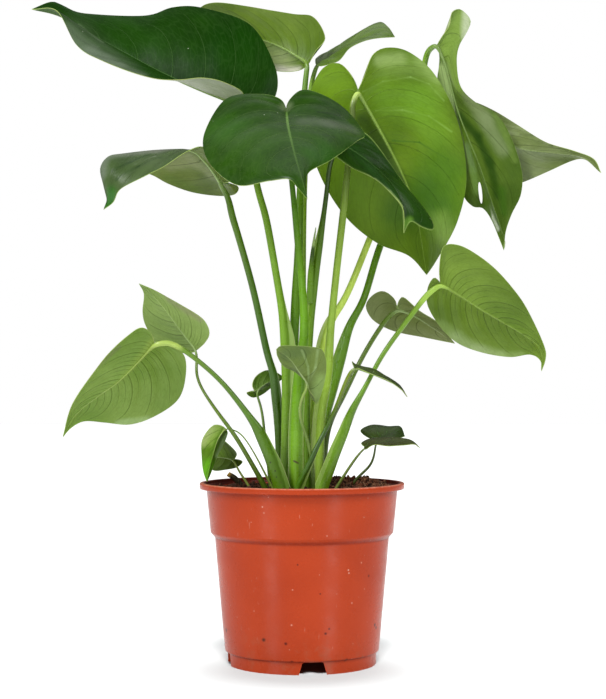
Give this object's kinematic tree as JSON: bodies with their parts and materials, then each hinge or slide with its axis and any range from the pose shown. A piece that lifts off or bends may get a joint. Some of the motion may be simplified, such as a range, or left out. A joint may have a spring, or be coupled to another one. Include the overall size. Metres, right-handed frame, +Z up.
{
  "type": "potted monstera",
  "caption": "Young monstera with heart-shaped leaves on long sheathed stalks, rooted in peat in a round terracotta-coloured plastic nursery pot with a lip, a stepped wall and a notched foot.",
  "frame": {"origin": "on the floor under the middle of the whole plant's box, which is also the axis of the pot's foot", "axes": "+Z up along the pot's axis, +X to the viewer's right, +Y away from the viewer"},
  "size_m": [0.4874, 0.2656, 0.5768],
  "materials": {
    "terracotta_plastic": "satin, scuffed near the foot",
    "peat": null,
    "dry_stalk": null,
    "stalk_green": null,
    "leaf_top_left": null,
    "leaf_top_back": null,
    "leaf_top_right": null,
    "leaf_large_bright": null,
    "leaf_front": null,
    "leaf_narrow": null,
    "leaf_left_drooping": null,
    "leaf_hanging_right": null,
    "leaf_far_right": null,
    "leaf_lower_right": null,
    "leaf_olive_right": null,
    "leaf_lower_left": null,
    "leaf_small_left": null,
    "leaf_rim_folded": null,
    "leaf_rim_round": null,
    "leaf_inner_left": null,
    "leaf_small_centre": null,
    "leaf_slim_right": null,
    "leaf_low_upper": null,
    "leaf_low_edge": null
  },
  "bodies": {
    "root": {"pot": "terracotta_plastic", "soil": "peat", "dry_stub": "dry_stalk", "stalk_top_left": "stalk_green", "blade_top_left": "leaf_top_left", "stalk_top_back": "stalk_green", "blade_top_back": "leaf_top_back", "stalk_top_right": "stalk_green", "blade_top_right": "leaf_top_right", "stalk_large_bright": "stalk_green", "blade_large_bright": "leaf_large_bright", "stalk_front": "stalk_green", "blade_front": "leaf_front", "stalk_narrow": "stalk_green", "blade_narrow": "leaf_narrow", "stalk_left_drooping": "stalk_green", "blade_left_drooping": "leaf_left_drooping", "stalk_hanging_right": "stalk_green", "blade_hanging_right": "leaf_hanging_right", "stalk_far_right": "stalk_green", "blade_far_right": "leaf_far_right", "stalk_lower_right": "stalk_green", "blade_lower_right": "leaf_lower_right", "stalk_olive_right": "stalk_green", "blade_olive_right": "leaf_olive_right", "stalk_lower_left": "stalk_green", "blade_lower_left": "leaf_lower_left", "stalk_small_left": "stalk_green", "blade_small_left": "leaf_small_left", "stalk_rim_folded": "stalk_green", "blade_rim_folded": "leaf_rim_folded", "stalk_rim_round": "stalk_green", "blade_rim_round": "leaf_rim_round", "stalk_inner_left": "stalk_green", "blade_inner_left": "leaf_inner_left", "stalk_small_centre": "stalk_green", "blade_small_centre": "leaf_small_centre", "stalk_slim_right": "stalk_green", "blade_slim_right": "leaf_slim_right", "stalk_low_upper": "stalk_green", "blade_low_upper": "leaf_low_upper", "stalk_low_edge": "stalk_green", "blade_low_edge": "leaf_low_edge"}
  },
  "joints": []
}
